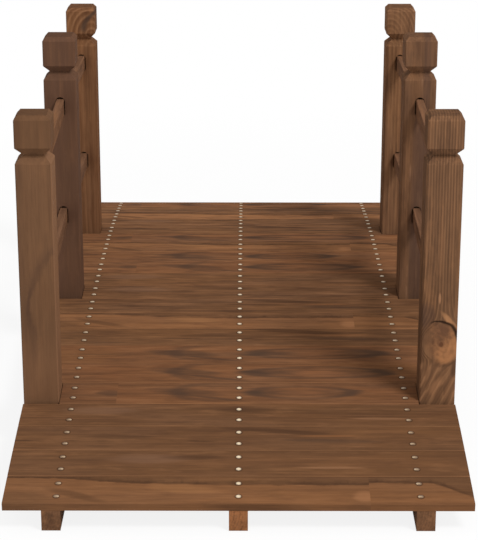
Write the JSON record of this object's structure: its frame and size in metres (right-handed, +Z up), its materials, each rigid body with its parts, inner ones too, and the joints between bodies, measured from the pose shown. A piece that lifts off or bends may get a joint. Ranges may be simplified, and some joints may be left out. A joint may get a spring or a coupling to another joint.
{
  "type": "wooden garden bridge",
  "caption": "Low arched garden footbridge of brown-stained boards nailed across bowed stringers, with grooved square posts and straight rails along both sides.",
  "frame": {"origin": "on the ground at the middle of the bridge's footprint", "axes": "+X across the deck, +Y along the walk, +Z up"},
  "size_m": [0.67, 1.4996, 0.5632],
  "materials": {
    "deck_wood": "matte brown stain, planed softwood",
    "post_wood": "matte brown stain, planed softwood",
    "rail_wood": "matte brown stain, planed softwood",
    "stringer_wood": "matte brown stain, planed softwood",
    "nail": "pale plated nails with flat domed heads",
    "screw": "zinc-plated countersunk screws"
  },
  "bodies": {
    "root": {"stringer_left": "stringer_wood", "stringer_centre": "stringer_wood", "stringer_right": "stringer_wood", "deck_board_01": "deck_wood", "deck_board_02": "deck_wood", "deck_board_03": "deck_wood", "deck_board_04": "deck_wood", "deck_board_05": "deck_wood", "deck_board_06": "deck_wood", "deck_board_07": "deck_wood", "deck_board_08": "deck_wood", "deck_board_09": "deck_wood", "deck_board_10": "deck_wood", "deck_board_11": "deck_wood", "deck_board_12": "deck_wood", "deck_board_13": "deck_wood", "deck_board_14": "deck_wood", "deck_board_15": "deck_wood", "deck_board_16": "deck_wood", "deck_board_17": "deck_wood", "deck_board_18": "deck_wood", "deck_board_19": "deck_wood", "deck_board_20": "deck_wood", "deck_board_21": "deck_wood", "nails_left": "nail", "nails_centre": "nail", "nails_right": "nail", "post_front_left": "post_wood", "post_middle_left": "post_wood", "post_back_left": "post_wood", "post_front_right": "post_wood", "post_middle_right": "post_wood", "post_back_right": "post_wood", "post_screws_left": "screw", "post_screws_right": "screw", "rail_upper_front_left": "rail_wood", "rail_lower_front_left": "rail_wood", "rail_upper_back_left": "rail_wood", "rail_lower_back_left": "rail_wood", "rail_upper_front_right": "rail_wood", "rail_lower_front_right": "rail_wood", "rail_upper_back_right": "rail_wood", "rail_lower_back_right": "rail_wood"}
  },
  "joints": []
}
